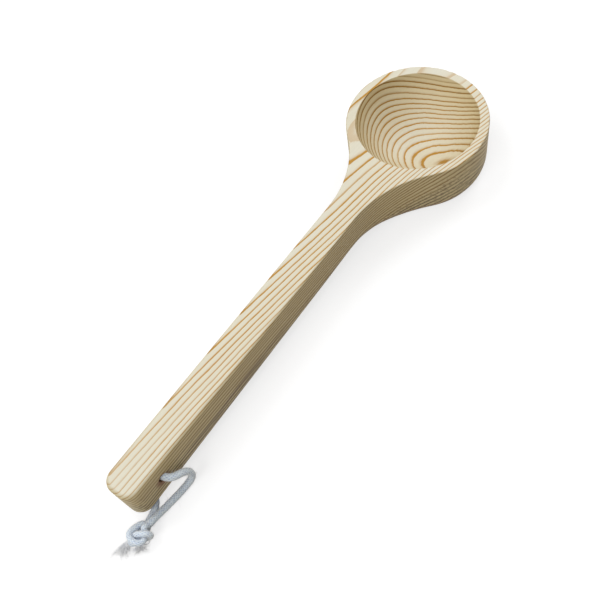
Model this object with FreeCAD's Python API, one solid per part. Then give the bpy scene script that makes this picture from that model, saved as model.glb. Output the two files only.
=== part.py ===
"""A carved wooden ladle with a cord through its handle.

The ladle is one piece of softwood: a round bowl, a flared neck and a long
handle. A loop of cord runs through the hole near the handle's end, and its
two legs meet in an overhand knot with two frayed tails.

Millimetres. +Z is up and +X runs along the handle towards the bowl. The
origin is below the middle of the wooden ladle's length, on the plane that
the flat underside of the bowl rests on.
"""

import FreeCAD, Part
import math
import os

from FreeCAD import Vector

# Overall sizes of the wooden ladle
overall_length = 360.0
head_diameter = 97.0
overall_height = 40.0

# Bowl: a wall arc and a floor arc that meets it, whose radius is longer by the
# flattening than that of a plain spherical bowl of the same mouth and depth
rim_width = 6.5
bowl_depth = 28.5
bowl_wall_radius = 28.0
bowl_floor_flattening = 1.3
mouth_edge_rounding = 0.4

# Handle and neck, seen from above
handle_width_at_butt = 23.0
handle_width_at_neck = 20.6
neck_plan_radius = 77.0
butt_corner_radius = 8.5

# Handle and neck, seen from the side
handle_depth_at_butt = 35.0
handle_depth_at_neck = 30.0
neck_station = 206.5
flat_base_behind_head_centre = 29.0
throat_radius = 116.0

# Roundings of the long edges, which grow towards the head below and the butt above
under_rounding_at_butt = 7.0
under_rounding_at_neck = 5.0
under_rounding_at_head = 8.5
under_rounding_at_tip = 11.5
top_rounding_at_butt = 3.3
top_rounding_at_neck = 0.8

# Cord and the hole that it runs through
cord_diameter = 4.2
cord_play_in_hole = 1.0
hole_from_butt = 24.0
hole_below_top = 15.0
hole_edge_rounding = 0.5

# Spans that each side of the handle, the neck and the head is divided into, so
# that the roundings of their edges change evenly
handle_span_count = 6
neck_span_count = 3
head_span_count = 6

# How much of the shorter run each bend of the cord takes up
bend_share = 0.45

# The cord's route, from the knot along the near leg, through the hole and back
cord_route = [
    (-181.0, -14.8, 6.6),
    (-173.4, -14.7, 4.6),
    (-163.5, -15.3, 2.2),
    (-151.2, -16.6, 2.2),
    (-143.0, -18.4, 7.0),
    (-143.6, -16.8, 17.6),
    (-154.8, -15.4, 25.2),
    (-156.1, -4.4, 25.3),
    (-155.6, 5.6, 24.9),
    (-156.2, 15.6, 24.3),
    (-157.3, 17.4, 14.6),
    (-159.0, 15.6, 6.0),
    (-161.0, 8.0, 2.4),
    (-163.6, -1.2, 2.2),
    (-168.6, -8.6, 2.2),
    (-175.2, -11.3, 2.2),
    (-181.0, -12.0, 2.4),
]

# Knot: a lump, the turn that wraps the two legs, a lobe and two tails
knot_centre = (-189.0, -12.0, 6.3)
knot_radius = 6.3
knot_turn_route = [
    (-185.4, -7.6, 4.4),
    (-184.0, -9.6, 10.6),
    (-183.2, -16.0, 10.8),
    (-184.6, -18.6, 4.6),
]
knot_lobe_route = [
    (-185.4, -9.6, 7.6),
    (-190.2, -6.4, 8.4),
    (-194.2, -8.4, 5.0),
]
left_tail_route = [
    (-192.4, -11.0, 4.2),
    (-197.4, -9.4, 2.9),
    (-203.6, -10.6, 2.2),
]
right_tail_route = [
    (-191.0, -14.6, 4.2),
    (-194.6, -17.4, 2.9),
    (-197.6, -19.0, 2.2),
]

# Worked out from the sizes above
head_radius = head_diameter / 2
head_centre_x = overall_length / 2 - head_radius
mouth_radius = head_radius - rim_width
butt_x = -overall_length / 2
neck_x = butt_x + neck_station
hole_x = butt_x + hole_from_butt
hole_z = overall_height - hole_below_top
hole_diameter = cord_diameter + 2 * cord_play_in_hole
cord_radius = cord_diameter / 2

# How far cutting solids reach past the wood, and how near counts as the same place
beyond = head_diameter
touch = 0.01


def tangent_centre(point, heading, side, radius, circle_centre, circle_radius):
    """Centre of an arc that touches a line and, from outside, a circle.

    The line passes through point along heading, a unit vector, and the arc
    lies on its left for side 1 and on its right for side -1. Of the two
    centres, the one further back along the heading is returned.
    """
    across = Vector(-heading.y, heading.x, 0) * side
    offset = (point - circle_centre).dot(across) + radius
    along = math.sqrt((radius + circle_radius) ** 2 - offset**2)
    return circle_centre + across * offset - heading * along


def towards(start, end, distance):
    """The point at a distance from start on the way to end."""
    return start + (end - start).normalize() * distance


def foot(point, heading, other):
    """The point of a line that is nearest to another point."""
    return point + heading * (other - point).dot(heading)


def arc_about(centre, start, end):
    """The shorter arc about a centre, from one point to another."""
    middle = towards(centre, (start + end) / 2, (start - centre).Length)
    return Part.Arc(start, middle, end).toShape()


def divided_arc(centre, start, end, spans):
    """The arcs of equal turn that lead about a centre, from one point to another."""
    radius = (start - centre).Length
    first, last = [math.atan2(p.y - centre.y, p.x - centre.x) for p in (start, end)]
    angles = [first + (last - first) * k / (2 * spans) for k in range(2 * spans + 1)]
    ring = [centre + Vector(math.cos(a), math.sin(a), 0) * radius for a in angles]
    threes = zip(ring[::2], ring[1::2], ring[2::2])
    return [Part.Arc(*three).toShape() for three in threes]


def outline():
    """The ladle seen from above: head, flared neck, handle and rounded butt."""
    butt_side = Vector(butt_x, handle_width_at_butt / 2, 0)
    neck_side = Vector(neck_x, handle_width_at_neck / 2, 0)
    heading = (neck_side - butt_side).normalize()
    head = Vector(head_centre_x, 0, 0)
    flare = tangent_centre(
        butt_side, heading, 1, neck_plan_radius, head, head_radius
    )
    on_side = foot(butt_side, heading, flare)
    on_head = towards(head, flare, head_radius)

    half_corner = math.atan2(heading.x, -heading.y) / 2
    reach = butt_corner_radius / math.tan(half_corner)
    on_end = Vector(butt_x, butt_side.y - reach, 0)
    corner_end = butt_side + heading * reach
    corner = Vector(butt_x + butt_corner_radius, on_end.y, 0)

    far_side = [arc_about(corner, on_end, corner_end)]
    step = (on_side - corner_end) / handle_span_count
    for span in range(handle_span_count):
        start = corner_end + step * span
        far_side.append(Part.LineSegment(start, start + step).toShape())
    far_side += divided_arc(flare, on_side, on_head, neck_span_count)
    far_side += divided_arc(head, on_head, head + Vector(head_radius, 0, 0), head_span_count)
    near_side = [edge.mirror(Vector(), Vector(0, 1, 0)) for edge in far_side]
    butt_end = Part.LineSegment(Vector(on_end.x, -on_end.y, 0), on_end).toShape()
    edges = far_side + near_side + [butt_end]
    return Part.Face(Part.Wire(Part.sortEdges(edges)[0]))


def space_below():
    """The block under the neck and handle, to be cut away from the blank."""
    # Worked out flat, with the height as the second coordinate
    at_butt = Vector(butt_x, overall_height - handle_depth_at_butt, 0)
    at_neck = Vector(neck_x, overall_height - handle_depth_at_neck, 0)
    heading = (at_neck - at_butt).normalize()
    rise_start = Vector(head_centre_x - flat_base_behind_head_centre, 0, 0)
    rise_centre = rise_start + Vector(0, throat_radius, 0)
    crest_centre = tangent_centre(
        at_butt, heading, -1, throat_radius, rise_centre, throat_radius
    )
    crest = foot(at_butt, heading, crest_centre)
    inflection = (rise_centre + crest_centre) / 2
    outside = at_butt - heading * beyond
    below = Vector(0, -beyond, 0)
    flat = [
        Part.LineSegment(outside, crest).toShape(),
        arc_about(crest_centre, crest, inflection),
        arc_about(rise_centre, inflection, rise_start),
        Part.LineSegment(rise_start, rise_start + below).toShape(),
        Part.LineSegment(rise_start + below, outside + below).toShape(),
        Part.LineSegment(outside + below, outside).toShape(),
    ]
    face = Part.Face(Part.Wire(flat))
    face.rotate(Vector(0, 0, 0), Vector(1, 0, 0), 90)
    face.translate(Vector(0, beyond, 0))
    return face.extrude(Vector(0, -2 * beyond, 0))


def between(x, stations):
    """A size at x, worked out between the stations (x, size), in rising x."""
    for (x_low, low), (x_high, high) in zip(stations, stations[1:]):
        if x <= x_high:
            share = max(0.0, (x - x_low) / (x_high - x_low))
            return low + (high - low) * share
    return stations[-1][1]


def under_rounding(x):
    """Rounding of the lower edges, from the butt to the head."""
    return between(
        x,
        [
            (butt_x, under_rounding_at_butt),
            (neck_x, under_rounding_at_neck),
            (head_centre_x - flat_base_behind_head_centre, under_rounding_at_head),
            (overall_length / 2, under_rounding_at_tip),
        ],
    )


def top_rounding(x):
    """Rounding of the upper edges, from the butt to the head."""
    return between(x, [(butt_x, top_rounding_at_butt), (neck_x, top_rounding_at_neck)])


def rounded(solid, chosen, size_at):
    """A solid with each chosen edge rounded, by a radius that varies with x."""
    document = FreeCAD.newDocument()
    base = document.addObject("Part::Feature", "base")
    base.Shape = solid
    edges = []
    for number, edge in enumerate(base.Shape.Edges, 1):
        if chosen(edge):
            start = edge.valueAt(edge.FirstParameter)
            end = edge.valueAt(edge.LastParameter)
            edges.append((number, size_at(start.x), size_at(end.x)))
    fillet = document.addObject("Part::Fillet", "fillet")
    fillet.Base = base
    fillet.Edges = edges
    document.recompute()
    result = fillet.Shape.copy()
    FreeCAD.closeDocument(document.Name)
    return result


def is_upper(edge):
    """Whether an edge lies in the top plane."""
    return edge.BoundBox.ZMin > overall_height - touch


def is_lower(edge):
    """Whether an edge runs round the underside, and isn't a seam across it."""
    box = edge.BoundBox
    across = box.XLength < touch
    at_butt = box.XMax < butt_x + touch and box.ZLength < touch
    return box.ZMax < hole_z and (at_butt or not across)


def bowl_hollow():
    """The bowl's inside: a floor arc and a tangent wall arc, turned about the head."""
    # Worked out with the height above the bowl's floor as the third coordinate
    mouth = Vector(mouth_radius, 0, bowl_depth)
    spherical_radius = mouth.Length**2 / (2 * bowl_depth)
    floor_radius = spherical_radius + bowl_floor_flattening
    floor_centre = Vector(0, 0, floor_radius)
    # The wall arc's centre is known by its distances to the mouth and the floor's centre
    to_floor = floor_radius - bowl_wall_radius
    span = floor_centre - mouth
    along = (bowl_wall_radius**2 - to_floor**2 + span.Length**2) / (2 * span.Length)
    aside = math.sqrt(bowl_wall_radius**2 - along**2)
    unit = Vector(span).normalize()
    across = Vector(unit.z, 0, -unit.x)
    centres = [mouth + unit * along + across * aside * side for side in (1, -1)]
    wall_centre = min(centres, key=lambda centre: centre.z)
    meeting = towards(floor_centre, wall_centre, floor_radius)
    above = Vector(0, 0, beyond)
    profile = [
        arc_about(floor_centre, Vector(), meeting),
        arc_about(wall_centre, meeting, mouth),
        Part.LineSegment(mouth, mouth + above).toShape(),
        Part.LineSegment(mouth + above, Vector(0, 0, bowl_depth) + above).toShape(),
        Part.LineSegment(Vector(0, 0, bowl_depth) + above, Vector()).toShape(),
    ]
    hollow = Part.Face(Part.Wire(profile)).revolve(Vector(), Vector(0, 0, 1), 360)
    hollow.translate(Vector(head_centre_x, 0, overall_height - bowl_depth))
    return hollow


def is_mouth(edge):
    """Whether an edge is the bowl's mouth."""
    point = edge.valueAt(edge.FirstParameter)
    reach = math.hypot(point.x - head_centre_x, point.y)
    return is_upper(edge) and abs(reach - mouth_radius) < touch


def is_hole_edge(edge):
    """Whether an edge is where the cord's hole comes out of the handle."""
    box = edge.BoundBox
    near = abs(box.Center.x - hole_x) < touch and abs(box.Center.z - hole_z) < touch
    return near and box.XLength > cord_diameter


def wooden_ladle():
    """The whole wooden ladle, with its bowl and the hole for the cord."""
    blank = outline().extrude(Vector(0, 0, overall_height)).cut(space_below())
    body = rounded(rounded(blank, is_lower, under_rounding), is_upper, top_rounding)
    body = body.cut(bowl_hollow())
    mouth = [edge for edge in body.Edges if is_mouth(edge)]
    body = body.makeFillet(mouth_edge_rounding, mouth)
    start = Vector(hole_x, -beyond, hole_z)
    hole = Part.makeCylinder(hole_diameter / 2, 2 * beyond, start, Vector(0, 1, 0))
    body = body.cut(hole)
    ends = [edge for edge in body.Edges if is_hole_edge(edge)]
    return body.makeFillet(hole_edge_rounding, ends)


def tube(route, radius, name=None):
    """A round tube along straight runs joined by tangent arcs."""
    points = [Vector(*point) for point in route]
    edges = []
    radii = []
    start = points[0]
    for before, corner, after in zip(points, points[1:], points[2:]):
        back, ahead = (before - corner), (after - corner)
        reach = bend_share * min(back.Length, ahead.Length)
        half_turn = (math.pi - back.getAngle(ahead)) / 2
        bend = reach / math.tan(half_turn)
        first, last = towards(corner, before, reach), towards(corner, after, reach)
        inward = (Vector(back).normalize() + Vector(ahead).normalize()).normalize()
        middle = corner + inward * (bend / math.cos(half_turn) - bend)
        edges.append(Part.LineSegment(start, first).toShape())
        edges.append(Part.Arc(first, middle, last).toShape())
        radii.append(bend)
        start = last
    edges.append(Part.LineSegment(start, points[-1]).toShape())
    path = Part.Wire(edges)
    ring = Part.Wire(Part.makeCircle(radius, points[0], points[1] - points[0]))
    solid = path.makePipeShell([ring], True, True)
    if name:
        expected = math.pi * radius**2 * path.Length
        print(name, "bend radii", [round(bend, 1) for bend in radii])
        print(name, "length", round(path.Length, 1), "volume ratio", solid.Volume / expected)
    return solid


def leg_stub(end, before):
    """The last stretch of a leg, inside the knot, face to face with the cord."""
    start = Vector(*end)
    heading = start - Vector(*before)
    return Part.makeCylinder(cord_radius, knot_radius, start, heading)


def knot():
    """The overhand knot as one closed lump with its turn, lobe and tails."""
    lump = Part.makeSphere(knot_radius, Vector(*knot_centre), Vector(1, 0, 0))
    for route in (knot_turn_route, knot_lobe_route, left_tail_route, right_tail_route):
        lump = lump.fuse(tube(route, cord_radius))
    lump = lump.fuse(leg_stub(cord_route[0], cord_route[1]))
    return lump.fuse(leg_stub(cord_route[-1], cord_route[-2]))


os.makedirs("parts", exist_ok=True)
wooden_ladle().exportStep("parts/wooden_ladle.step")
tube(cord_route, cord_radius, "cord").exportStep("parts/hanging_cord.step")
knot().exportStep("parts/cord_knot.step")
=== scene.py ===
"""Dresses the carved pine ladle and its loop of cord, and sets the light and the camera.

The ladle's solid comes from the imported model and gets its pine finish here. The
cord and its knot are braided cotton, and the knot's two ends are frayed.
"""

import logging
import math
from dataclasses import dataclass, field
from enum import Enum
from functools import partial
from typing import Callable

import bpy
import numpy as np
from mathutils import Matrix, Vector


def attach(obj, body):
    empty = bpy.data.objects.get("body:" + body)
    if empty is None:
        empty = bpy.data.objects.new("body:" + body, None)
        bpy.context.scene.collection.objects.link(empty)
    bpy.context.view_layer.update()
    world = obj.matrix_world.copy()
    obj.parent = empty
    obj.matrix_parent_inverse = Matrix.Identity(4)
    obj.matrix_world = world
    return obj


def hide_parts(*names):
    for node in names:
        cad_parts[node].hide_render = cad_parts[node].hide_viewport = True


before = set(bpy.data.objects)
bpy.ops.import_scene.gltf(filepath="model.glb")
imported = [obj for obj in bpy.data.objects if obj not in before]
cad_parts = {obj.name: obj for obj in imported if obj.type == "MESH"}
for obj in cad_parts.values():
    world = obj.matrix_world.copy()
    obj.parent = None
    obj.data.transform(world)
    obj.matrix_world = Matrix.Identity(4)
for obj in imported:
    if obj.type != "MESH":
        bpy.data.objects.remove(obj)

LOG = logging.getLogger("ladle")
MM = 0.001
BODY = "root"
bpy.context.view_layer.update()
# Rows of a line over which its heading is taken.
HEADING_ROWS = 8
# How much thinner a loose fibre is at its tip, as a share.
FIBRE_TAPER = 0.6

Array = np.ndarray
Two = tuple[float, float]
Three = tuple[float, float, float]
Four = tuple[float, float, float, float]
Material = bpy.types.Material
Node = bpy.types.Node
Piece = bpy.types.Object
Tree = bpy.types.NodeTree
Adder = Callable[..., Node]


def linear(code: str) -> Four:
    """An sRGB colour written as hex digits, turned to linear light by sRGB's curve.

    Args:
        code: six hex digits, red first.

    Returns:
        Red, green, blue and an alpha of one.
    """
    parts = [int(code[k : k + 2], 16) / 255 for k in (0, 2, 4)]
    turned = [p / 12.92 if p <= 0.04045 else ((p + 0.055) / 1.055) ** 2.4 for p in parts]
    return (*turned, 1.0)


def add(tree: Tree, kind: str, *inputs: object, **settings: object) -> Node:
    """Adds a node to a tree, with its settings and what feeds it.

    Args:
        tree: the tree that gets the node.
        kind: the node's type, and after a point its operation.
        inputs: for each live socket in turn, a value, a node or a socket. One
            dict gives them by the sockets' names instead.
        settings: the node's own properties.

    Returns:
        The new node.
    """
    kind, _, operation = kind.partition(".")
    node = tree.nodes.new("ShaderNode" + kind)
    if operation:
        settings["operation"] = operation
    for name, value in settings.items():
        setattr(node, name, value)
    if inputs and isinstance(inputs[0], dict):
        pairs = [(node.inputs[name], value) for name, value in inputs[0].items()]
    else:
        pairs = zip([socket for socket in node.inputs if socket.enabled], inputs)
    for socket, value in pairs:
        if isinstance(value, Node):
            value = next(output for output in value.outputs if output.enabled)
        if isinstance(value, bpy.types.NodeSocket):
            tree.links.new(value, socket)
        else:
            socket.default_value = value
    return node


def empty_tree(owner: Material | bpy.types.World) -> Tree:
    """The node tree of a material or a world, switched on and emptied."""
    owner.use_nodes = True
    owner.node_tree.nodes.clear()
    return owner.node_tree


def unit(vectors: Array) -> Array:
    """Vectors scaled to a length of one."""
    return vectors / np.linalg.norm(vectors, axis=-1, keepdims=True)


def frames_along(path: Array) -> tuple[Array, Array]:
    """Cross directions that follow a path and don't twist about it.

    Each point first gets a normal from its tangent and one slanted direction.
    The twist from a point to the next is the angle between its normal, turned
    with the tangent, and the next normal. The sum of the twists is turned back.

    Args:
        path: points, row by row.

    Returns:
        Normals and binormals.
    """
    tangent = unit(np.gradient(path, axis=0))
    slant = np.array([0.31, 0.43, 0.85])
    normal = unit(np.cross(tangent, slant))
    a, b, n = tangent[:-1], tangent[1:], normal[:-1]
    share = (n * b).sum(1) / (1 + (a * b).sum(1))
    carried = n - share[:, None] * (a + b)
    sine = (np.cross(carried, normal[1:]) * b).sum(1)
    cosine = (carried * normal[1:]).sum(1)
    twist = -np.concatenate([[0.0], np.cumsum(np.arctan2(sine, cosine))])[:, None]
    binormal = np.cross(tangent, normal)
    steady = normal * np.cos(twist) + binormal * np.sin(twist)
    return steady, np.cross(tangent, steady)


def run_along(path: Array) -> Array:
    """How far along a path each of its points is."""
    steps = np.linalg.norm(np.diff(path, axis=0), axis=1)
    return np.concatenate([[0.0], np.cumsum(steps)])


def evenly(path: Array, count: int) -> Array:
    """A path's points again, spaced evenly along it, by straight interpolation."""
    run = run_along(path)
    places = np.linspace(0.0, run[-1], count)
    return np.stack([np.interp(places, run, path[:, k]) for k in range(3)], axis=1)


def spline_path(points: Array, count: int) -> Array:
    """Points on the smooth line that a route's points control.

    Args:
        points: the route's points.
        count: how many points the line is read at.

    Returns:
        Evenly spaced points on a quadratic NURBS spline with its ends on the route's.
    """
    guide = bpy.data.curves.new("guide", "CURVE")
    guide.dimensions = "3D"
    guide.resolution_u = 48
    spline = guide.splines.new("NURBS")
    spline.points.add(len(points) - 1)
    spline.points.foreach_set("co", np.c_[points, np.ones(len(points))].ravel())
    spline.order_u = 3
    spline.use_endpoint_u = True
    holder = bpy.data.objects.new("guide", guide)
    mesh = bpy.data.meshes.new_from_object(holder)
    read = np.empty(len(mesh.vertices) * 3)
    mesh.vertices.foreach_get("co", read)
    bpy.data.objects.remove(holder)
    bpy.data.curves.remove(guide)
    bpy.data.meshes.remove(mesh)
    return evenly(read.reshape(-1, 3), count)


def tube_points(lines: Array, reach: Array, normal: Array, binormal: Array) -> Array:
    """Points of tubes round lines, by tube, along it and round it.

    A point stands out from its line by its reach, between the normal and the
    binormal at its angle.

    Args:
        lines: the lines' points, by line and along it.
        reach: how far the surface is from its line, by line, along and round it.
        normal: a cross direction at each point of the lines.
        binormal: the other cross direction.

    Returns:
        The points.
    """
    angle = np.linspace(0, 2 * np.pi, reach.shape[-1], endpoint=False)[:, None]
    ring = np.cos(angle) * normal[..., None, :] + np.sin(angle) * binormal[..., None, :]
    return lines[..., None, :] + reach[..., None] * ring


def tube_faces(tubes: int, rows: int, around: int) -> list:
    """Quads between the rows of tubes, and a cap at each end, facing outwards."""
    near = np.arange(around)
    far = (near + 1) % around
    base = np.arange(tubes)[:, None] * rows * around
    row = (base + np.arange(rows - 1) * around).reshape(-1, 1)
    quads = np.stack([row + near, row + far, row + around + far, row + around + near], -1)
    start = base + near[::-1]
    end = base + (rows - 1) * around + near
    return quads.reshape(-1, 4).tolist() + start.tolist() + end.tolist()


def strands(lines: Array, radii: Array | float, sides: int) -> tuple[Array, list]:
    """Thin closed tubes round many lines at once.

    Args:
        lines: points, by line and along it.
        radii: the radii along a line, or one for all of it.
        sides: how many sides a tube has.

    Returns:
        The vertices and the faces.
    """
    tangent = unit(np.gradient(lines, axis=1))
    slant = np.array([0.31, 0.85, 0.43])
    normal = unit(np.cross(tangent, slant))
    reach = np.broadcast_to(radii, lines.shape[:2])[..., None].repeat(sides, axis=-1)
    points = tube_points(lines, reach, normal, np.cross(tangent, normal))
    return points.reshape(-1, 3), tube_faces(*lines.shape[:2], sides)


def mesh_piece(
    name: str, vertices: Array, faces: list, finish: Material, **fields: Array
) -> Piece:
    """A smooth mesh object with its place in its mesh.

    Args:
        name: the piece's name.
        vertices: points in metres.
        faces: lists of vertex numbers.
        finish: the piece's material.
        fields: by name, an attribute with a value for each vertex.

    Returns:
        The object, linked to the scene.
    """
    mesh = bpy.data.meshes.new(name)
    mesh.from_pydata(vertices.reshape(-1, 3).tolist(), [], faces)
    mesh.polygons.foreach_set("use_smooth", np.ones(len(mesh.polygons), bool))
    for key, values in fields.items():
        layer = mesh.attributes.new(key, "FLOAT", "POINT")
        layer.data.foreach_set("value", values.astype(np.float32).ravel())
    mesh.materials.append(finish)
    mesh.update()
    piece = bpy.data.objects.new(name, mesh)
    bpy.context.scene.collection.objects.link(piece)
    return piece


@dataclass(frozen=True)
class Cut:
    """Nodes that tell how the wood is cut at a point of its surface.

    Attributes:
        place: the point, in mm.
        radius: its distance from the pith, in mm.
        end: 0 on a face along the handle and 1 on one across it.
        steep: 0 on a level face and 1 on an upright one.
        under: more than 0 where a slanting face looks down, where painted shade goes.
        noise: the wood's noises, by name, each from 0 to 1.
    """

    place: Node
    radius: Node
    end: Node
    steep: Node
    under: Node
    noise: dict[str, Node]


@dataclass(frozen=True)
class PineFinish:
    """Pine, carved and sanded, and left without oil.

    The eye sees cream earlywood and thin tan latewood lines. Each line darkens
    slowly away from the pith and ends sharply, where the next year starts. The
    rings are round the pith, which runs above the handle and bends over the
    head, so every cut through them shows the right curves. Where the cut
    crosses the fibres, as on the butt, the wood is darker. Upright faces, as
    inside the bowl and on the sides, get painted shade: a tanner, darker colour
    and darker lines. Faces that look down get a painted brown shade, and the
    hole gets a painted dark shade inside it and round its rim. Fibres and pores
    are drawn coarser than real ones, so that they show.

    Attributes:
        pith_path: where the pith runs sideways, as stations (x, y), in mm.
        pith_height: the pith's height above the origin, in mm.
        pith_drift: how much higher the pith is for each mm along the handle.
        year_width: width of a year where the radius is width_radius, in mm.
        width_decline: radius over which their widths shrink to a third.
        least_width: the width that the years of older wood keep, in mm.
        first_line: the age where the radius is width_radius, in years.
        fat_years: radius of a run of wider years, its spread and its gain.
        outer_years: the radius where the years widen again, and their width.
        noises: each noise's name, its lumps' sizes along x, y, z in mm, its detail.
        wander: how far a ring strays over a long way, in mm.
        ripple: how far it strays over a short one, in mm.
        year_profile: fractions of a year, and the share of latewood there.
        year_strength: a faint year's strength, and what a strong one adds.
        narrowing: radii from thin lines to broad ones, and the powers that thin them.
        steep_widening: the share of that power that a steep face takes off.
        pale_core: radii from pale lines to full ones, and the first one's strength.
        held_end: the same along the handle, in mm, from the hand's wear.
        sanded_head: where along the head, in mm, its outside gets sanded paler.
        sanded_fading: the share of its lines' strength that is lost there.
        outer_face: radii, in mm, between the bowl's inside and that outside.
        old_radius: where the latewood starts to darken and where it is darkest.
        upright_line_shade: how far it is darkened on a steep face, as painted shade.
        upright_shade_share: how much a steep face turns the earlywood to its painted shade.
        end_share: how much a face across the fibres turns it to the end grain's colour.
        underside_shade_gain: how fast the painted brown shade of faces that look down comes
            in.
        streaks: where the noise of the sides' brown streaks starts and is full, and
            their share of the colour there.
        hole_shade_middle: the middle (x, z) of the painted dark shade inside the hole and
            round its rim, in mm.
        hole_shade: how far that shade is full, where it ends, and its share of the colour.
        pores: where the pores' noise starts and is full, and what it adds there.
        fibre_shade: a dark fibre's lightness, and what a light one adds.
    """

    earlywood: str = "DAD8C9"
    warm_earlywood: str = "D7CDB2"
    # Painted shade: upright faces are tanner and darker than level ones.
    upright_shade: str = "CEB986"
    end_grain: str = "D2C299"
    latewood: str = "B78526"
    old_latewood: str = "351E06"
    # Painted shade on faces that look down.
    underside_shade: str = "8E5A1E"
    streak: str = "5E3D16"
    # Painted shade inside the hole and round its rim.
    hole_shade_brown: str = "74450F"
    pith_path: tuple = (
        (-180, 41.3), (-90, 42.6), (-20, 39.5), (40, 35.0),
        (80, 32.8), (115, 25.7), (145, 17.3), (180, 10.3),
    )
    pith_height: float = 93.7
    pith_drift: float = -0.0556
    year_width: float = 3.08
    width_radius: float = 48.0
    width_decline: float = 61.2
    least_width: float = 2.0
    first_line: float = 1.80
    fat_years: Three = (60.4, 5.9, 0.28)
    outer_years: Two = (85.0, 2.7)
    noises: tuple = (
        ("wander", (70.0, 16.0, 16.0), 1.0),
        ("ripple", (9.0, 2.2, 2.2), 2.0),
        ("fibre", (16.0, 0.3, 0.3), 2.0),
        ("pore", (3.0, 0.22, 0.22), 1.0),
        ("patch", (150.0, 18.0, 18.0), 1.0),
        ("streak", (75.0, 1.3, 1.3), 1.0),
    )
    wander: float = 0.5
    ripple: float = 0.2
    year_profile: tuple = (
        (0.0, 0.5), (0.05, 0.0), (0.5, 0.0), (0.74, 0.4), (0.87, 1.0), (1.0, 1.0),
    )
    year_strength: Two = (0.85, 0.4)
    narrowing: Four = (50.0, 95.0, 1.9, 1.35)
    steep_widening: float = 0.5
    pale_core: Three = (48.0, 50.5, 0.6)
    held_end: Three = (-180.0, -80.0, 0.65)
    sanded_head: Two = (88.0, 122.0)
    sanded_fading: float = 0.6
    outer_face: Two = (86.0, 93.0)
    old_radius: Two = (84.0, 98.0)
    upright_line_shade: float = 0.55
    upright_shade_share: float = 0.9
    end_share: float = 0.8
    underside_shade_gain: float = 1.8
    streaks: Four = (0.50, 0.68, 0.0, 0.8)
    hole_shade_middle: Two = (-156.4, 23.2)
    hole_shade: Three = (3.6, 6.8, 0.92)
    pores: Four = (0.62, 0.72, 0.0, -0.22)
    fibre_shade: Two = (0.92, 0.16)
    latewood_relief: float = 0.6
    fibre_relief: float = 0.5
    relief: float = 0.05 * MM
    relief_strength: float = 0.6
    roughness: float = 0.55

    def material(self) -> Material:
        """The node material, in millimetres on object coordinates."""
        material = bpy.data.materials.new("sanded_pine")
        n = partial(add, empty_tree(material))
        cut = self.cut(n)
        late = self.latewood_share(n, cut)
        colour = self.wood_colour(n, cut, late)
        fibre = cut.noise["fibre"]
        dark, more = self.fibre_shade
        shade = n("Math.MULTIPLY_ADD", fibre, more, dark)
        pores = n("MapRange", cut.noise["pore"], *self.pores)
        shade = n("Math.MULTIPLY_ADD", pores, late, shade)
        height = n("Math.MULTIPLY", fibre, self.fibre_relief)
        height = n("Math.MULTIPLY_ADD", late, self.latewood_relief, height)
        bump = {"Height": height, "Distance": self.relief, "Strength": self.relief_strength}
        surface = {
            "Base Color": n("VectorMath.SCALE", colour, shade),
            "Roughness": self.roughness,
            "Normal": n("Bump", bump),
        }
        n("OutputMaterial", {"Surface": n("BsdfPrincipled", surface)})
        return material

    def cut(self, n: Adder) -> Cut:
        """The nodes that the rings and the colours are worked out from."""
        coordinates = n("TexCoord")
        place = n("VectorMath.SCALE", coordinates.outputs["Object"], 1 / MM)
        noise = {}
        for name, size, detail in self.noises:
            scale = tuple(1 / side for side in size)
            mapped = n("Mapping", {"Vector": place, "Scale": scale})
            noise[name] = n("TexNoise", {"Vector": mapped, "Scale": 1.0, "Detail": detail})
        x, _, z = n("SeparateXYZ", coordinates.outputs["Normal"]).outputs
        steep = n("Math.SUBTRACT", 1.0, n("Math.MULTIPLY", z, z))
        # How much a face looks down, for the painted shade there.
        down = n("Math.MAXIMUM", n("Math.MULTIPLY", z, -self.underside_shade_gain), 0.0)
        return Cut(
            place=place,
            radius=self.ring_radius(n, place, noise),
            end=n("Math.MULTIPLY", x, x),
            steep=steep,
            under=n("Math.MULTIPLY", down, steep),
            noise=noise,
        )

    def ring_radius(self, n: Adder, place: Node, noise: dict[str, Node]) -> Node:
        """The distance from the pith, with the ripples that rings have, in mm."""
        x, y, z = n("SeparateXYZ", place).outputs
        low, high = self.pith_path[0][0], self.pith_path[-1][0]
        span, top = high - low, 50.0
        bend = n("FloatCurve", {"Value": n("Math.MULTIPLY_ADD", x, 1 / span, -low / span)})
        curve = bend.mapping.curves[0]
        while len(curve.points) < len(self.pith_path):
            curve.points.new(0.5, 0.5)
        for point, (station, side) in zip(curve.points, self.pith_path):
            point.location = ((station - low) / span, side / top)
        bend.mapping.update()
        side = n("Math.MULTIPLY_ADD", bend, -top, y)
        pith = n("Math.MULTIPLY_ADD", x, self.pith_drift, self.pith_height)
        rise = n("Math.SUBTRACT", z, pith)
        square = n("Math.MULTIPLY_ADD", side, side, n("Math.MULTIPLY", rise, rise))
        radius = n("Math.SQRT", square)
        radius = n("Math.MULTIPLY_ADD", noise["wander"], 2 * self.wander, radius)
        radius = n("Math.MULTIPLY_ADD", noise["ripple"], 2 * self.ripple, radius)
        return n("Math.SUBTRACT", radius, self.wander + self.ripple)

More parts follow.
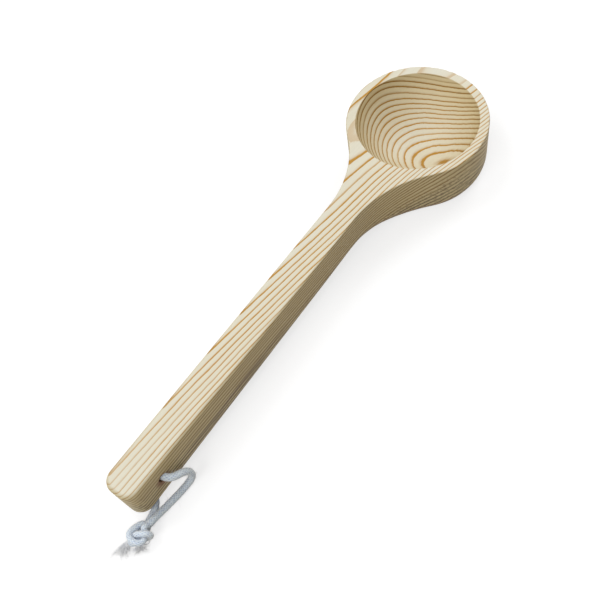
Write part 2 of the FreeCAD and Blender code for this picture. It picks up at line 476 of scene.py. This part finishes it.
    def age(self, n: Adder, radius: Node) -> Node:
        """The wood's age at a radius, in years.

        It is the sum of the years inside the radius. Their widths shrink
        exponentially down to the least width and widen again in the outer
        years, and the fat years take a bell-shaped bite off the sum.
        """
        per, inner = self.width_decline, self.width_radius
        scale = per / self.year_width
        edge = inner + per * math.log(self.year_width / self.least_width)
        within = n("Math.MINIMUM", radius, edge)
        growth = n("Math.EXPONENT", n("Math.MULTIPLY_ADD", within, 1 / per, -inner / per))
        age = n("Math.MULTIPLY_ADD", growth, scale, self.first_line - scale)
        beyond = n("Math.MAXIMUM", n("Math.SUBTRACT", radius, edge), 0.0)
        age = n("Math.MULTIPLY_ADD", beyond, 1 / self.least_width, age)
        start, width = self.outer_years
        later = n("Math.MAXIMUM", n("Math.SUBTRACT", radius, start), 0.0)
        age = n("Math.MULTIPLY_ADD", later, 1 / width - 1 / self.least_width, age)
        middle, spread, gain = self.fat_years
        hump = n("Math.MULTIPLY_ADD", radius, 1 / spread, -middle / spread)
        square = n("Math.MULTIPLY", hump, hump)
        fat = n("Math.EXPONENT", n("Math.MULTIPLY", square, -1.0))
        return n("Math.MULTIPLY_ADD", fat, -gain, age)

    def latewood_share(self, n: Adder, cut: Cut) -> Node:
        """How much of the colour is latewood, from 0 to 1.

        The share is the year's profile at the age's fraction, times the year's
        own strength, and less near the pith, where the hand holds it and where
        it is sanded. A power then narrows the lines.
        """
        age = self.age(n, cut.radius)
        profile = n("ValToRGB", n("Math.FRACT", age))
        stops = profile.color_ramp.elements
        while len(stops) < len(self.year_profile):
            stops.new(0.5)
        for stop, (fraction, share) in zip(stops, self.year_profile):
            stop.position = fraction
            stop.color = (share, share, share, 1.0)
        year = n("TexWhiteNoise", n("Math.FLOOR", age), noise_dimensions="1D")
        faint, more = self.year_strength
        strength = n("Math.MULTIPLY_ADD", year, more, faint)
        core = n("MapRange", cut.radius, *self.pale_core, 1.0)
        along = n("SeparateXYZ", cut.place).outputs[0]
        held = n("MapRange", along, *self.held_end, 1.0)
        head = n("MapRange", along, *self.sanded_head)
        outside = n("MapRange", cut.radius, *self.outer_face)
        sanded = n("Math.MULTIPLY", head, outside)
        sanded = n("Math.MULTIPLY_ADD", sanded, -self.sanded_fading, 1.0)
        for paler in (core, held, sanded):
            strength = n("Math.MULTIPLY", strength, paler)
        share = n("Math.MULTIPLY", profile, strength)
        power = n("MapRange", cut.radius, *self.narrowing)
        wider = n("Math.MULTIPLY_ADD", cut.steep, -self.steep_widening, 1.0)
        return n("Math.POWER", share, n("Math.MULTIPLY", power, wider))

    def wood_colour(self, n: Adder, cut: Cut, late: Node) -> Node:
        """The colour, as layers that each cover a share of the ones before."""
        age_and_shade = n("MapRange", cut.radius, *self.old_radius)
        # Upright faces get darker lines, as painted shade, besides the darkening with age.
        age_and_shade = n("Math.MAXIMUM", age_and_shade, n("Math.MULTIPLY", cut.steep, self.upright_line_shade))
        young, dark = linear(self.latewood), linear(self.old_latewood)
        line = n("Mix", age_and_shade, young, dark, data_type="RGBA")
        outside = n("MapRange", cut.radius, *self.outer_face)
        side = n("Math.MULTIPLY", outside, n("Math.SUBTRACT", cut.steep, cut.end))
        streaks = n("MapRange", cut.noise["streak"], *self.streaks)
        # The painted shade follows the hole, which runs along y.
        middle = (self.hole_shade_middle[0], 0.0, self.hole_shade_middle[1])
        offset = n("VectorMath.SUBTRACT", cut.place, middle)
        offset = n("VectorMath.MULTIPLY", offset, (1.0, 0.0, 1.0))
        distance = n("VectorMath.LENGTH", offset)
        hole_shade = n("MapRange", distance, *self.hole_shade, 0.0)
        layers = (
            (cut.noise["patch"], linear(self.warm_earlywood)),
            # Painted shade on upright faces.
            (n("Math.MULTIPLY", cut.steep, self.upright_shade_share), linear(self.upright_shade)),
            (n("Math.MULTIPLY", cut.end, self.end_share), linear(self.end_grain)),
            (late, line),
            # Painted shade on faces that look down.
            (cut.under, linear(self.underside_shade)),
            (n("Math.MULTIPLY", streaks, side), linear(self.streak)),
            # Painted shade in and round the hole.
            (hole_shade, linear(self.hole_shade_brown)),
        )
        colour = linear(self.earlywood)
        for share, layer in layers:
            colour = n("Mix", share, colour, layer, data_type="RGBA")
        return colour


@dataclass(frozen=True)
class CordFinish:
    """Soft braided cotton cord, bleached with a cold grey cast.

    The eye sees matt yarns that catch light on their crowns, darker creases
    where strands dive under each other, flecks, and a sheen of loose fibres.
    Their colour is painted light and shade: it runs from a dark colour in the
    braid's low places to the yarn's colour on its crowns and on the yarns'
    ridges. The flecks, the cotton's own, lighten it too.

    Attributes:
        depth_of_light: how far light spreads in the cotton, in metres.
        yarns_in_strand: how many yarns lie side by side in a strand.
        flecks: how many flecks there are in a metre.
        fleck_share: how much a fleck lightens the cord, against a crown's painted light.
        ridge_share: how much a yarn's ridge lightens it, as painted light.
        shade_range: the sums that show the creases' painted shade and the yarn's own
            colour.
    """

    yarn: str = "E9F3FF"
    # Painted shade in the braid's creases.
    crease_shade: str = "8F9FBE"
    roughness: float = 0.9
    sheen: float = 0.4
    depth_of_light: float = 1.5 * MM
    yarns_in_strand: float = 4.0
    flecks: float = 0.9 / MM
    fleck_share: float = 1.2
    ridge_share: float = 0.15
    shade_range: Two = (0.6, 1.55)
    ridge_relief: float = 0.5
    relief: float = 0.15 * MM
    relief_strength: float = 0.7

    def material(self, name: str, depth: float) -> Material:
        """The node material, with yarns on the pieces' own attributes.

        Args:
            name: the material's name.
            depth: how much of the light goes in and comes out elsewhere.

        Returns:
            The material.
        """
        material = bpy.data.materials.new(name)
        n = partial(add, empty_tree(material))
        place = n("TexCoord").outputs["Object"]
        flecks = n("TexNoise", {"Vector": place, "Scale": self.flecks, "Detail": 3.0})
        crown = n("Attribute", attribute_name="crown").outputs["Fac"]
        across = n("Attribute", attribute_name="across").outputs["Fac"]
        wave = n("Math.SINE", n("Math.MULTIPLY", across, math.pi * self.yarns_in_strand))
        ridge = n("Math.ABSOLUTE", wave)
        # Painted light and shade from the braid's crowns and the yarns' ridges, with the
        # flecks' own tone.
        share = n("Math.MULTIPLY_ADD", flecks, self.fleck_share, crown)
        share = n("Math.MULTIPLY_ADD", ridge, self.ridge_share, share)
        shade = n("MapRange", share, *self.shade_range)
        height = n("Math.MULTIPLY_ADD", ridge, self.ridge_relief, flecks)
        bump = {"Height": height, "Distance": self.relief, "Strength": self.relief_strength}
        crease_shade, yarn = linear(self.crease_shade), linear(self.yarn)
        surface = {
            "Base Color": n("Mix", shade, crease_shade, yarn, data_type="RGBA"),
            "Roughness": self.roughness,
            "Sheen Weight": self.sheen,
            "Subsurface Weight": depth,
            "Subsurface Radius": (1.0, 1.0, 1.0),
            "Subsurface Scale": self.depth_of_light,
            "Normal": n("Bump", bump),
        }
        n("OutputMaterial", {"Surface": n("BsdfPrincipled", surface)})
        return material


@dataclass(frozen=True)
class Braid:
    """A braid of strands each way, over one and under one, as a relief.

    Attributes:
        strands: strands that run each way round.
        lead: length along the cord of one turn of a strand, in metres.
        relief: height of the strands' crowns, in metres.
        fill: how much of its lane a strand's half circle takes.
        swing: how far a strand goes over and under, against its half circle.
        lowest: the sum of both that counts as no height.
        span: how much more of it counts as a full height.
        level: the height that lies on the cord's measured width.
    """

    strands: int = 8
    lead: float = 17.0 * MM
    relief: float = 0.26 * MM
    fill: float = 0.95
    swing: float = 0.55
    lowest: float = 0.3
    span: float = 1.25
    level: float = 0.8

    def weave(self, along: Array, around: Array) -> tuple[Array, Array]:
        """How high the braid stands, and where a point is across its strand.

        Two families of strands wind opposite ways. A strand's section is a
        half circle across it, and its height swings as it goes over and under
        the other family, so the surface is the higher of the two families.

        Args:
            along: distance along the cord, in metres.
            around: angle round it, in radians.

        Returns:
            The height, from 0 to about 1, and the place across, from 0 to 1.
        """
        turn = self.strands * around / (2 * np.pi)
        run = self.strands * along / self.lead
        lanes = np.stack([turn + run, turn - run])
        over = np.where(np.floor(lanes).sum(axis=0) % 2 == 0, self.swing, -self.swing)
        across = lanes % 1
        arch = np.sqrt(1 - (2 * self.fill * (across - 0.5)) ** 2)
        high = arch + np.stack([over, -over]) * np.sin(np.pi * across[::-1])
        height = (high.max(axis=0) - self.lowest) / self.span
        return height, np.where(high[0] > high[1], *across)


@dataclass
class CordTube:
    """A length of braided cord.

    Attributes:
        path: the centre line, evenly spaced, in metres.
        radius: the cord's radius at each point of the path, in metres.
        around: how many points there are round the cord.
        braid: the relief of its strands.
    """

    path: Array
    radius: Array
    around: int = 64
    braid: Braid = field(default_factory=Braid)

    def grid(self) -> tuple[Array, Array, Array]:
        """Its points along and round it, their heights and places across a strand.

        A point's reach is the radius, less what the braid's crowns don't fill.
        """
        normal, binormal = frames_along(self.path)
        angle = np.linspace(0, 2 * np.pi, self.around, endpoint=False)
        crown, across = self.braid.weave(run_along(self.path)[:, None], angle)
        reach = self.radius[:, None] + self.braid.relief * (crown - self.braid.level)
        return tube_points(self.path, reach, normal, binormal), crown, across


def cord_piece(name: str, tubes: list[CordTube], finish: Material) -> Piece:
    """One closed piece made of lengths of braided cord of the same make."""
    grids = [tube.grid() for tube in tubes]
    points, crown, across = (np.array([grid[k] for grid in grids]) for k in range(3))
    faces = tube_faces(*crown.shape)
    return mesh_piece(name, points, faces, finish, crown=crown, across=across)


class Leg(Enum):
    """The two legs of the loop of cord."""

    NEAR = 0
    FAR = 1


@dataclass
class CordLoop:
    """The cord's way from the knot, through the handle's hole and back.

    Attributes:
        route: the control points of its line, in millimetres.
        diameter: the cord's diameter, in metres.
        real_length: the whole length of the loop, in metres.
        exit_point: where it leaves the handle, in metres.
        fullness: how far the braid's crowns stand beyond the measured width.
        swell: how much thicker it is at the bend beside the hole, as a share.
        swell_reach: how far from there that goes, in metres.
    """

    route: tuple = (
        (-181.0, -14.8, 6.6), (-173.4, -14.7, 4.6), (-163.5, -15.3, 2.2),
        (-151.2, -16.6, 2.2), (-143.0, -18.4, 7.0), (-143.6, -16.8, 17.6),
        (-154.8, -15.4, 25.2), (-156.1, -4.4, 25.3), (-155.6, 5.6, 24.9),
        (-156.2, 15.6, 24.3), (-157.3, 17.4, 14.6), (-159.0, 15.6, 6.0),
        (-161.0, 8.0, 2.4), (-163.6, -1.2, 2.2), (-168.6, -8.6, 2.2),
        (-175.2, -11.3, 2.2), (-181.0, -12.0, 2.4),
    )
    diameter: float = 4.2 * MM
    real_length: float = 148.7 * MM
    exit_point: Three = (-158.2 * MM, -11.5 * MM, 22.8 * MM)
    rows: int = 800
    fullness: float = 1.06
    swell: float = 0.05
    swell_reach: float = 12.0 * MM
    path: Array = field(init=False)
    tubes: list[CordTube] = field(init=False)

    def build(self, finish: Material) -> Piece:
        """Builds the loop."""
        self.path = spline_path(np.array(self.route) * MM, self.rows)
        away = np.linalg.norm(self.path - np.array(self.exit_point), axis=1)
        bulge = self.swell * np.exp(-((away / self.swell_reach) ** 2))
        radius = self.fullness * self.diameter / 2 * (1 + bulge)
        self.tubes = [CordTube(self.path, radius)]
        return cord_piece("braided_cord", self.tubes, finish)


@dataclass
class OverhandKnot:
    """The overhand knot that ties the loop's two legs together.

    Both legs run side by side round the knot. Their lines start as an open
    trefoil and are drawn tight: each is a chain whose links shorten step by
    step, and points that come nearer than the cord's thickness push apart.

    Attributes:
        thickness: the cord's diameter where the knot squeezes it, in metres.
        drawn_length: the length of each leg within the knot, in metres.
        centre: the middle of the trefoil before it is drawn.
        ends: where the two ends leave the knot, in millimetres.
        turn: how the trefoil is turned about the handle's direction.
        ring_radius: the trefoil's radius.
        ring_swing: how far it swings in and out of that radius.
        bow: how far the legs bow out on their way into the trefoil.
        roof: the height that the knot, lying on the floor, sags to.
        opening: the angle of the trefoil that each of its ends leaves open.
        beside: how far a leg is from the trefoil's line, in thicknesses.
        onward: how far along its way into the trefoil a leg bows, as a share.
        held: how many points stay put where the legs come in.
        kept: which of a leg's drawn points guide its line, one in so many.
        drawing: the share of the steps in which it gets shorter.
        smoothing: how far a step takes a point towards its neighbours' middle.
        bend: how near along a leg its points don't push, in thicknesses.
        push: how much of an overlap a step takes away.
    """

    thickness: float = 3.5 * MM
    drawn_length: float = 47.0 * MM
    centre: Three = (-190.6 * MM, -13.6 * MM, 11.0 * MM)
    ends: tuple = ((-196.0, -10.6, 2.2), (-193.3, -16.9, 2.2))
    turn: float = math.radians(45)
    ring_radius: float = 11.0 * MM
    ring_swing: float = 5.6 * MM
    bow: float = 5.0 * MM
    roof: float = 11.0 * MM
    opening: float = 0.28
    ring_rows: int = 200
    beside: float = 0.6
    onward: float = 0.6
    held: int = 3
    links: int = 80
    steps: int = 500
    kept: int = 4
    drawing: float = 0.7
    smoothing: float = 0.12
    bend: float = 1.35
    push: float = 0.9
    fullness: float = 1.06
    rows: int = 380
    tubes: list[CordTube] = field(init=False)

    def trefoil(self, legs: Array, headings: Array) -> Array:
        """The two legs' lines before the knot is drawn tight.

        The trefoil goes round twice while it swings three times in and out, and
        three times up and down.

        Args:
            legs: the loop's two ends.
            headings: the directions in which they point.

        Returns:
            Points, by leg and along it.
        """
        angle = np.linspace(self.opening, 2 * np.pi - self.opening, self.ring_rows)[:, None]
        axis = np.array([1.0, 0.0, 0.0])
        out = np.array([0.0, math.cos(self.turn), math.sin(self.turn)])
        over = np.cross(out, axis)
        reach = self.ring_radius + self.ring_swing * np.cos(3 * angle)
        ring = (
            np.cos(2 * angle) * reach * out
            + np.sin(2 * angle) * reach * axis
            + self.ring_swing * np.sin(3 * angle) * over
        )
        ring = ring - ring.mean(axis=0) + np.array(self.centre)
        aside = unit(np.cross(np.gradient(ring, axis=0), over))
        aside = aside * self.thickness * self.beside
        stations = np.arange(self.held + 1)[:, None] * MM
        share, bow = self.onward, self.bow * out
        lines = []
        for leg in Leg:
            line = ring + (aside if leg is Leg.NEAR else -aside)
            end = np.array(self.ends[leg.value]) * MM
            lead = legs[leg.value] + headings[leg.value] * stations
            into = (1 - share) * lead[-1] + share * line[0] + bow
            outof = (1 - share) * end + share * line[-1] + bow
            way = np.concatenate([lead, [into], line, [outof], [end]])
            lines.append(evenly(way, self.links))
        return np.array(lines)

    def draw_tight(self, lines: Array) -> Array:
        """Shortens both lines until the knot is tight, and keeps them apart.

        The points are numbered with a gap between the legs, so that a number's
        neighbours are on its own leg.

        Args:
            lines: points, by leg and along it.

        Returns:
            The tightened points.
        """
        count, tiny = lines.shape[1], 1e-9
        pinned = lines.copy()
        lengths = np.linalg.norm(np.diff(lines, axis=1), axis=2).sum(axis=1)
        number = np.arange(2 * count) + np.repeat([0, count], count)
        for step in range(self.steps):
            drawn = min(1.0, step / (self.drawing * self.steps))
            link = (lengths * (1 - drawn) + self.drawn_length * drawn) / (count - 1)
            for odd in (0, 1):
                first, second = lines[:, odd:-1:2], lines[:, odd + 1 :: 2]
                apart = second - first
                size = np.linalg.norm(apart, axis=2, keepdims=True) + tiny
                move = 0.5 * (size - link[:, None, None]) / size * apart
                first += move
                second -= move
            middles = 0.5 * (lines[:, :-2] + lines[:, 2:])
            lines[:, 1:-1] += self.smoothing * (middles - lines[:, 1:-1])
            flat = lines.reshape(-1, 3)
            apart = flat[:, None] - flat[None]
            size = np.linalg.norm(apart, axis=2) + tiny
            window = math.ceil(self.bend * self.thickness / link.mean())
            near = abs(number[:, None] - number) <= window
            overlap = np.where(near, 0.0, np.maximum(0.0, self.thickness - size))
            push = ((overlap / size)[..., None] * apart).sum(axis=1)
            touching = np.maximum(1, (overlap > 0).sum(axis=1))[:, None]
            lines += (self.push * push / touching).reshape(lines.shape)
            height = np.maximum(lines[..., 2], self.thickness / 2)
            lines[..., 2] = np.minimum(height, 0.5 * (height + self.roof))
            lines[:, : self.held] = pinned[:, : self.held]
            lines[:, -1] = pinned[:, -1]
        return lines

    def build(self, loop: CordLoop, finish: Material) -> Piece:
        """Builds both legs' way through the knot."""
        legs = np.array([loop.path[0], loop.path[-1]])
        inside = np.array([loop.path[HEADING_ROWS], loop.path[-1 - HEADING_ROWS]])
        headings = unit(legs - inside)
        drawn = self.draw_tight(self.trefoil(legs, headings))
        lines = [spline_path(line[:: self.kept], self.rows) for line in drawn]
        radius = np.full(self.rows, self.thickness / 2 * self.fullness)
        self.tubes = [CordTube(line, radius) for line in lines]
        return cord_piece("overhand_knot", self.tubes, finish)


@dataclass
class FrayedEnd:
    """A cut end of the cord, where the braid has opened into its yarns.

    A yarn leaves the cord's section, keeps the cord's heading for a while and
    bends down to one of the wisps' tips. Its fibres wind about it and stray
    from it, more and more towards their ends.

    Attributes:
        tips: the ends of the wisps that the yarns gather in, in millimetres.
        section: radius of the bundle of yarns at the cord's end, in metres.
        yarn_radius: how far a fibre winds from its yarn's middle, in metres.
        fibre_radius: coarser than a real fibre's, so that it shows.
        scatter: how far the yarns' ends spread about a wisp's tip, in metres.
        flatness: the shares of that along x, y and z.
        stray: how far a fibre's end strays from its yarn, in metres.
        set_back: how far inside the cord's end the yarns start, in metres.
        heading_on: how far they keep the cord's heading, as a share.
        reach: the shortest and longest fibre, as shares of their yarn.
        winding: the angle that a fibre winds through.
        straying: the power of the way along it with which it strays.
    """

    tips: tuple
    seed: int
    yarns: int = 24
    fibres: int = 7
    rows: int = 16
    section: float = 1.45 * MM
    yarn_radius: float = 0.32 * MM
    fibre_radius: float = 0.12 * MM
    scatter: float = 0.65 * MM
    flatness: Three = (1.0, 1.0, 0.5)
    stray: float = 0.9 * MM
    set_back: float = 1.6 * MM
    heading_on: float = 0.45
    reach: Two = (0.8, 1.08)
    winding: float = 5.0
    straying: float = 1.6

    def lines(self, path: Array) -> Array:
        """The fibres' lines, by fibre and along it, from the cord's last stretch."""
        random = np.random.default_rng(self.seed)
        heading = unit(path[-1] - path[-1 - HEADING_ROWS])
        side = unit(np.cross(heading, np.array([0.0, 0.0, 1.0])))
        up = np.cross(side, heading)
        number = np.arange(self.yarns) + 0.5
        out = self.section * np.sqrt(number / self.yarns)[:, None]
        turn = (number * math.pi * (3 - math.sqrt(5)))[:, None]
        root = path[-1] - heading * self.set_back
        root = root + out * (np.cos(turn) * side + np.sin(turn) * up)
        tips = np.array(self.tips)[np.arange(self.yarns) % len(self.tips)] * MM
        tips = tips + random.normal(0, self.scatter, tips.shape) * self.flatness
        way = np.linalg.norm(tips - root, axis=1, keepdims=True)
        elbow = root + heading * self.heading_on * way
        shape = (self.yarns, self.fibres)
        reach = random.uniform(*self.reach, shape)[..., None, None]
        t = reach * np.linspace(0, 1, self.rows)[:, None]
        root, elbow, tips = (v[:, None, None] for v in (root, elbow, tips))
        yarn = (1 - t) ** 2 * root + 2 * t * (1 - t) * elbow + t**2 * tips
        phase = random.uniform(0, 2 * np.pi, shape)[..., None, None] + self.winding * t
        wind = self.yarn_radius * (np.cos(phase) * side + np.sin(phase) * up)
        stray = random.normal(0, self.stray, (*shape, 1, 3)) * t**self.straying
        lines = (yarn + wind + stray).reshape(-1, self.rows, 3)
        lines[..., 2] = np.maximum(lines[..., 2], self.fibre_radius)
        return lines


@dataclass
class FrayedEnds:
    """Both frayed ends of the cord, and a strand that has pulled out of the knot.

    Attributes:
        ends: the two ends, in the order of the legs.
        pulled: the pulled strand's control points, in millimetres.
    """

    ends: tuple = (
        FrayedEnd(
            ((-205.8, -6.6, 0.8), (-203.2, -8.6, 2.2), (-203.8, -11.2, 0.5),
             (-202.9, -13.1, 0.5), (-200.4, -13.0, 0.9), (-198.6, -13.4, 1.6)), seed=3,
        ),
        FrayedEnd(
            ((-198.0, -14.8, 0.8), (-197.2, -17.0, 0.6), (-195.0, -18.8, 0.8),
             (-193.2, -19.6, 1.4), (-191.6, -20.8, 0.9)), seed=8,
        ),
    )
    pulled: tuple = (
        (-184.9, -16.6, 6.0), (-186.0, -19.5, 5.4), (-187.6, -20.3, 2.2),
        (-190.0, -19.6, 0.6), (-191.6, -17.0, 0.6), (-192.0, -14.5, 2.0),
    )
    pulled_rows: int = 60
    pulled_radius: float = 0.24 * MM
    sides: int = 5

    def build(self, knot: OverhandKnot, finish: Material) -> Piece:
        """Builds the fibres of both ends and the pulled strand as one piece."""
        parts = []
        for end, tube in zip(self.ends, knot.tubes):
            lines = end.lines(tube.path)
            taper = 1 - FIBRE_TAPER * np.linspace(0, 1, end.rows) ** 2
            parts.append(strands(lines, end.fibre_radius * taper, self.sides))
        line = spline_path(np.array(self.pulled) * MM, self.pulled_rows)[None]
        parts.append(strands(line, self.pulled_radius, self.sides))
        return thread_piece("frayed_ends", parts, finish)


@dataclass
class LooseFibres:
    """The fuzz of short fibres that stands off the cord.

    A fibre leaves the surface on a slanting line and bends aside with the
    square of the way along it.

    Attributes:
        spacing: length of braid for each fibre, in metres.
        radius: coarser than a real fibre's, so that it shows.
        length: what the lengths are in proportion to, in metres.
        lengths: shape and scale of their gamma distribution.
        lean: how far a fibre leans off the surface's own direction.
        bow: how far it bends aside, as a share of its length.
        bare: rows at a cord's ends that have no fibres.
    """

    spacing: float = 0.085 * MM
    radius: float = 0.05 * MM
    length: float = 0.55 * MM
    lengths: Two = (2.6, 0.6)
    lean: float = 0.6
    bow: float = 0.7
    rows: int = 5
    sides: int = 3
    seed: int = 21
    bare: int = 4

    def build(self, tubes: list[CordTube], finish: Material) -> Piece:
        """Builds the fibres of some lengths of cord as one piece."""
        random = np.random.default_rng(self.seed)
        parts = []
        for tube in tubes:
            points, _, _ = tube.grid()
            count = int(run_along(tube.path)[-1] / self.spacing)
            row = random.integers(self.bare, points.shape[0] - self.bare, count)
            column = random.integers(0, points.shape[1], count)
            root = points[row, column]
            out = unit(root - tube.path[row])
            lean = unit(out + random.normal(0, self.lean, root.shape))
            aside = unit(random.normal(0, 1, root.shape))
            size = self.length * random.gamma(*self.lengths, count)[:, None, None]
            t = np.linspace(0, 1, self.rows)[:, None]
            bent = t * lean[:, None] + self.bow * t**2 * aside[:, None]
            lines = root[:, None] + size * bent
            lines[..., 2] = np.maximum(lines[..., 2], self.radius)
            taper = 1 - FIBRE_TAPER * t[:, 0]
            parts.append(strands(lines, self.radius * taper, self.sides))
        return thread_piece("loose_fibres", parts, finish)


def thread_piece(name: str, parts: list, finish: Material) -> Piece:
    """One piece made of sets of thin closed tubes, each its vertices and faces."""
    points, faces, first = [], [], 0
    for vertices, its_faces in parts:
        points.append(vertices)
        faces += [[number + first for number in face] for face in its_faces]
        first += len(vertices)
    vertices = np.concatenate(points)
    full, none = np.full(first, 1.0), np.zeros(first)
    return mesh_piece(name, vertices, faces, finish, crown=full, across=none)


@dataclass(frozen=True)
class Floor:
    """A plain pale floor, which keeps the ladle's shadow.

    Attributes:
        shade: how much light it returns to the camera.
        glow: light of its own, seen by the camera alone, that takes it to white.
        bounce: the colour that it throws on the ladle.
    """

    shade: str = "A2A2A2"
    glow: float = 0.70
    bounce: str = "98917F"
    half_width: float = 3.0

    def build(self) -> None:
        """Builds the floor."""
        material = bpy.data.materials.new("pale_floor")
        n = partial(add, empty_tree(material))
        seen = n("BsdfDiffuse", {"Color": linear(self.shade)})
        unseen = n("BsdfDiffuse", {"Color": linear(self.bounce)})
        lit = n("AddShader", seen, n("Emission", {"Strength": self.glow}))
        rays = n("LightPath").outputs
        shown = n("Math.MAXIMUM", rays["Is Camera Ray"], rays["Is Glossy Ray"])
        shown = n("Math.MAXIMUM", shown, rays["Is Transmission Ray"])
        n("OutputMaterial", {"Surface": n("MixShader", shown, unseen, lit)})
        corners = np.array([[-1, -1, 0], [1, -1, 0], [1, 1, 0], [-1, 1, 0]])
        corners = corners * self.half_width
        floor = mesh_piece("floor", corners, [[0, 1, 2, 3]], material)


@dataclass(frozen=True)
class Lamp:
    """A soft square lamp that faces the ladle.

    Attributes:
        place: where it stands, in metres.
        size: its side, in metres.
        power: in watts.
    """

    name: str
    place: Three
    size: float
    power: float

    def build(self) -> None:
        """Adds the lamp to the scene."""
        data = bpy.data.lights.new(self.name, "AREA")
        data.energy = self.power
        data.size = self.size
        lamp = bpy.data.objects.new(self.name, data)
        place = Vector(self.place)
        facing = (-place).to_track_quat("-Z", "Y").to_matrix().to_4x4()
        lamp.matrix_world = Matrix.Translation(place) @ facing
        bpy.context.scene.collection.objects.link(lamp)


@dataclass(frozen=True)
class Studio:
    """The light round the ladle: three lamps, and a pale surround.

    Attributes:
        lamps: beyond the handle's far side, beyond its butt and beyond the bowl.
        surround: how strongly the surround lights; the camera sees it white.
        tint: the surround's colour.
    """

    lamps: tuple = (
        Lamp("key", (-0.30, 1.3, 2.2), 1.2, 24.0),
        Lamp("side", (-1.80, -0.15, 1.9), 1.2, 21.0),
        Lamp("fill", (1.90, 0.10, 1.3), 1.0, 19.0),
    )
    surround: float = 0.385
    tint: str = "FFFFFF"

    def build(self) -> None:
        """Adds the lamps and the surround."""
        for lamp in self.lamps:
            lamp.build()
        world = bpy.data.worlds.new("surround")
        bpy.context.scene.world = world
        n = partial(add, empty_tree(world))
        camera = n("LightPath").outputs["Is Camera Ray"]
        strength = n("Math.MULTIPLY_ADD", camera, 1 - self.surround, self.surround)
        sky = n("Background", {"Color": linear(self.tint), "Strength": strength})
        n("OutputWorld", {"Surface": sky})


@dataclass(frozen=True)
class Viewpoint:
    """The camera, above the butt's near side, as in the picture.

    Attributes:
        place: where it stands, in metres.
        right: the direction that points right in the picture.
        down: the direction that points down in it.
        focal_length: the lens's, in millimetres.
        film_width: the film's, in millimetres.
    """

    place: Three = (-0.185150, -0.206311, 0.473245)
    right: Three = (0.58999273, -0.79659526, -0.13169879)
    down: Three = (-0.74065762, -0.469027, -0.48108208)
    focal_length: float = 49.068
    film_width: float = 36.0

    def build(self) -> None:
        """Adds the camera and makes it the scene's."""
        data = bpy.data.cameras.new("camera")
        data.lens = self.focal_length
        data.sensor_width = self.film_width
        data.clip_start = 0.01
        camera = bpy.data.objects.new("camera", data)
        right, up = Vector(self.right), -Vector(self.down)
        turned = Matrix((right, up, right.cross(up))).transposed().to_4x4()
        camera.matrix_world = Matrix.Translation(Vector(self.place)) @ turned
        bpy.context.scene.collection.objects.link(camera)
        bpy.context.scene.camera = camera


@dataclass(frozen=True)
class WoodenLadle:
    """The carved ladle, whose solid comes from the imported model."""

    node: str = "wooden_ladle"

    def dress(self, finish: Material) -> None:
        """Gives the solid its finish."""
        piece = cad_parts[self.node]
        piece.data.materials.clear()
        piece.data.materials.append(finish)


def main() -> None:
    """Builds the pieces in order and reports each one."""
    logging.basicConfig(level=logging.INFO, format="%(name)s: %(message)s")
    bpy.context.scene.view_settings.view_transform = "Standard"
    Viewpoint().build()
    Studio().build()
    Floor().build()

    ladle = WoodenLadle()
    ladle.dress(PineFinish().material())
    LOG.info("%s: dressed in pine", ladle.node)

    cotton = CordFinish().material("braided_cotton", 1.0)
    fluff = CordFinish(yarn="F7F8FA").material("loose_cotton", 0.0)
    loop = CordLoop()
    cord = loop.build(cotton)
    LOG.info("%s: line of %.1f mm", cord.name, run_along(loop.path)[-1] / MM)
    knot = OverhandKnot()
    tied = knot.build(loop, cotton)
    frayed = FrayedEnds().build(knot, fluff)
    fuzz = LooseFibres().build(loop.tubes + knot.tubes, fluff)
    for piece in (cord, tied, frayed, fuzz):
        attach(piece, BODY)
        LOG.info("%s: %d faces", piece.name, len(piece.data.polygons))
    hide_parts("hanging_cord")
    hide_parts("cord_knot")


if __name__ == "__main__":
    main()
